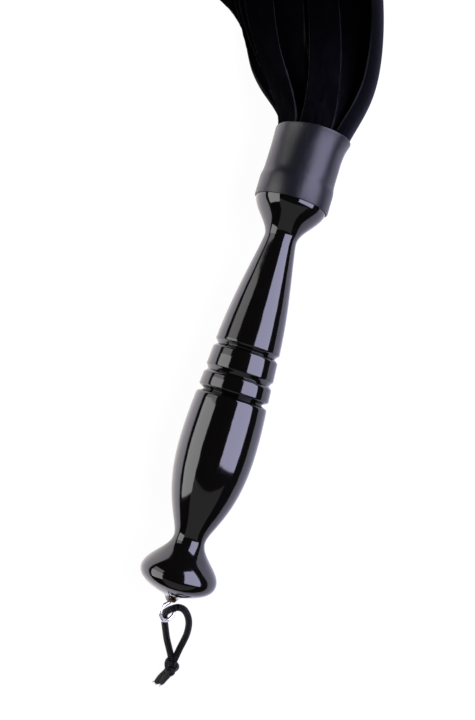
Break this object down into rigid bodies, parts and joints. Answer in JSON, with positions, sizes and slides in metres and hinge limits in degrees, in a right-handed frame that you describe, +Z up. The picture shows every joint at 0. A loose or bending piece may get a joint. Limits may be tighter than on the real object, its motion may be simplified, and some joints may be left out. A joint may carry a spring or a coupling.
{
  "type": "multi-tail whip",
  "caption": "Short whip with a turned black lacquered wood handle, a shrunk collar, flat suede tails swept to one side, and a knotted wrist cord in a screw eye.",
  "frame": {"origin": "on the table under the middle of everything but the wrist cord", "axes": "+X along the handle towards the tails, +Y left of the handle (the side the tails sweep to), +Z up from the table"},
  "size_m": [0.5834, 0.3198, 0.0366],
  "materials": {
    "lacquered_wood": "gloss black lacquer",
    "sleeve": "satin",
    "suede": "napped matte",
    "waxed_thread": "waxed",
    "bright_steel": "bright plated",
    "cord": "waxed braid"
  },
  "bodies": {
    "handle": {"handle": "lacquered_wood", "collar_sleeve": "sleeve", "header_roll": "suede", "thread_whipping": "waxed_thread", "screw_eye": "bright_steel"},
    "tail_left_upper_outer": {"tail_left_upper_outer": "suede"},
    "tail_left_upper_middle": {"tail_left_upper_middle": "suede"},
    "tail_left_upper_inner": {"tail_left_upper_inner": "suede"},
    "tail_top_outer": {"tail_top_outer": "suede"},
    "tail_top_middle": {"tail_top_middle": "suede"},
    "tail_top_inner": {"tail_top_inner": "suede"},
    "tail_right_upper_outer": {"tail_right_upper_outer": "suede"},
    "tail_right_upper_middle": {"tail_right_upper_middle": "suede"},
    "tail_right_upper_inner": {"tail_right_upper_inner": "suede"},
    "tail_right_lower_outer": {"tail_right_lower_outer": "suede"},
    "tail_right_lower_middle": {"tail_right_lower_middle": "suede"},
    "tail_right_lower_inner": {"tail_right_lower_inner": "suede"},
    "tail_bottom_outer": {"tail_bottom_outer": "suede"},
    "tail_bottom_middle": {"tail_bottom_middle": "suede"},
    "tail_bottom_inner": {"tail_bottom_inner": "suede"},
    "tail_left_lower_outer": {"tail_left_lower_outer": "suede"},
    "tail_left_lower_middle": {"tail_left_lower_middle": "suede"},
    "tail_left_lower_inner": {"tail_left_lower_inner": "suede"},
    "wrist_loop": {"wrist_cord": "cord", "cord_knot": "cord", "cord_end_1": "cord", "cord_end_2": "cord"}
  },
  "joints": [
    {"name": "tail_left_upper_outer_lift", "type": "hinge", "parent": "handle", "child": "tail_left_upper_outer", "pos_m": [-0.03589, -0.12755, 0.0264], "axis": [0, -0.5, 0.866], "range_deg": [0, 45]},
    {"name": "tail_left_upper_middle_lift", "type": "hinge", "parent": "handle", "child": "tail_left_upper_middle", "pos_m": [-0.03589, -0.12937, 0.02535], "axis": [0, -0.5, 0.866], "range_deg": [0, 40.5]},
    {"name": "tail_left_upper_inner_lift", "type": "hinge", "parent": "handle", "child": "tail_left_upper_inner", "pos_m": [-0.03589, -0.13118, 0.0243], "axis": [0, -0.5, 0.866], "range_deg": [0, 36]},
    {"name": "tail_top_outer_lift", "type": "hinge", "parent": "handle", "child": "tail_top_outer", "pos_m": [-0.03589, -0.14158, 0.0345], "axis": [0, -1, 0], "range_deg": [0, 45]},
    {"name": "tail_top_middle_lift", "type": "hinge", "parent": "handle", "child": "tail_top_middle", "pos_m": [-0.03589, -0.14158, 0.0324], "axis": [0, -1, 0], "range_deg": [0, 40.5]},
    {"name": "tail_top_inner_lift", "type": "hinge", "parent": "handle", "child": "tail_top_inner", "pos_m": [-0.03589, -0.14158, 0.0303], "axis": [0, -1, 0], "range_deg": [0, 36]},
    {"name": "tail_right_upper_outer_lift", "type": "hinge", "parent": "handle", "child": "tail_right_upper_outer", "pos_m": [-0.03589, -0.15561, 0.0264], "axis": [0, -0.5, -0.866], "range_deg": [0, 45]},
    {"name": "tail_right_upper_middle_lift", "type": "hinge", "parent": "handle", "child": "tail_right_upper_middle", "pos_m": [-0.03589, -0.15379, 0.02535], "axis": [0, -0.5, -0.866], "range_deg": [0, 40.5]},
    {"name": "tail_right_upper_inner_lift", "type": "hinge", "parent": "handle", "child": "tail_right_upper_inner", "pos_m": [-0.03589, -0.15197, 0.0243], "axis": [0, -0.5, -0.866], "range_deg": [0, 36]},
    {"name": "tail_right_lower_outer_lift", "type": "hinge", "parent": "handle", "child": "tail_right_lower_outer", "pos_m": [-0.03589, -0.15561, 0.0102], "axis": [0, 0.5, -0.866], "range_deg": [0, 45]},
    {"name": "tail_right_lower_middle_lift", "type": "hinge", "parent": "handle", "child": "tail_right_lower_middle", "pos_m": [-0.03589, -0.15379, 0.01125], "axis": [0, 0.5, -0.866], "range_deg": [0, 40.5]},
    {"name": "tail_right_lower_inner_lift", "type": "hinge", "parent": "handle", "child": "tail_right_lower_inner", "pos_m": [-0.03589, -0.15197, 0.0123], "axis": [0, 0.5, -0.866], "range_deg": [0, 36]},
    {"name": "tail_bottom_outer_lift", "type": "hinge", "parent": "handle", "child": "tail_bottom_outer", "pos_m": [-0.03589, -0.14158, 0.0021], "axis": [0, 1, 0], "range_deg": [0, 45]},
    {"name": "tail_bottom_middle_lift", "type": "hinge", "parent": "handle", "child": "tail_bottom_middle", "pos_m": [-0.03589, -0.14158, 0.0042], "axis": [0, 1, 0], "range_deg": [0, 40.5]},
    {"name": "tail_bottom_inner_lift", "type": "hinge", "parent": "handle", "child": "tail_bottom_inner", "pos_m": [-0.03589, -0.14158, 0.0063], "axis": [0, 1, 0], "range_deg": [0, 36]},
    {"name": "tail_left_lower_outer_lift", "type": "hinge", "parent": "handle", "child": "tail_left_lower_outer", "pos_m": [-0.03589, -0.12755, 0.0102], "axis": [0, 0.5, 0.866], "range_deg": [0, 45]},
    {"name": "tail_left_lower_middle_lift", "type": "hinge", "parent": "handle", "child": "tail_left_lower_middle", "pos_m": [-0.03589, -0.12937, 0.01125], "axis": [0, 0.5, 0.866], "range_deg": [0, 40.5]},
    {"name": "tail_left_lower_inner_lift", "type": "hinge", "parent": "handle", "child": "tail_left_lower_inner", "pos_m": [-0.03589, -0.13118, 0.0123], "axis": [0, 0.5, 0.866], "range_deg": [0, 36]},
    {"name": "wrist_loop_swing", "type": "hinge", "parent": "handle", "child": "wrist_loop", "pos_m": [-0.26999, -0.14158, 0.0183], "axis": [0, 0.7071, -0.7071], "range_deg": [0, 120]}
  ],
  "couplings": [
    {"joint": "tail_left_upper_middle_lift", "follows": "tail_left_upper_outer_lift", "ratio": 0.9},
    {"joint": "tail_left_upper_inner_lift", "follows": "tail_left_upper_outer_lift", "ratio": 0.8},
    {"joint": "tail_top_middle_lift", "follows": "tail_top_outer_lift", "ratio": 0.9},
    {"joint": "tail_top_inner_lift", "follows": "tail_top_outer_lift", "ratio": 0.8},
    {"joint": "tail_right_upper_middle_lift", "follows": "tail_right_upper_outer_lift", "ratio": 0.9},
    {"joint": "tail_right_upper_inner_lift", "follows": "tail_right_upper_outer_lift", "ratio": 0.8},
    {"joint": "tail_right_lower_middle_lift", "follows": "tail_right_lower_outer_lift", "ratio": 0.9},
    {"joint": "tail_right_lower_inner_lift", "follows": "tail_right_lower_outer_lift", "ratio": 0.8},
    {"joint": "tail_bottom_middle_lift", "follows": "tail_bottom_outer_lift", "ratio": 0.9},
    {"joint": "tail_bottom_inner_lift", "follows": "tail_bottom_outer_lift", "ratio": 0.8},
    {"joint": "tail_left_lower_middle_lift", "follows": "tail_left_lower_outer_lift", "ratio": 0.9},
    {"joint": "tail_left_lower_inner_lift", "follows": "tail_left_lower_outer_lift", "ratio": 0.8}
  ]
}
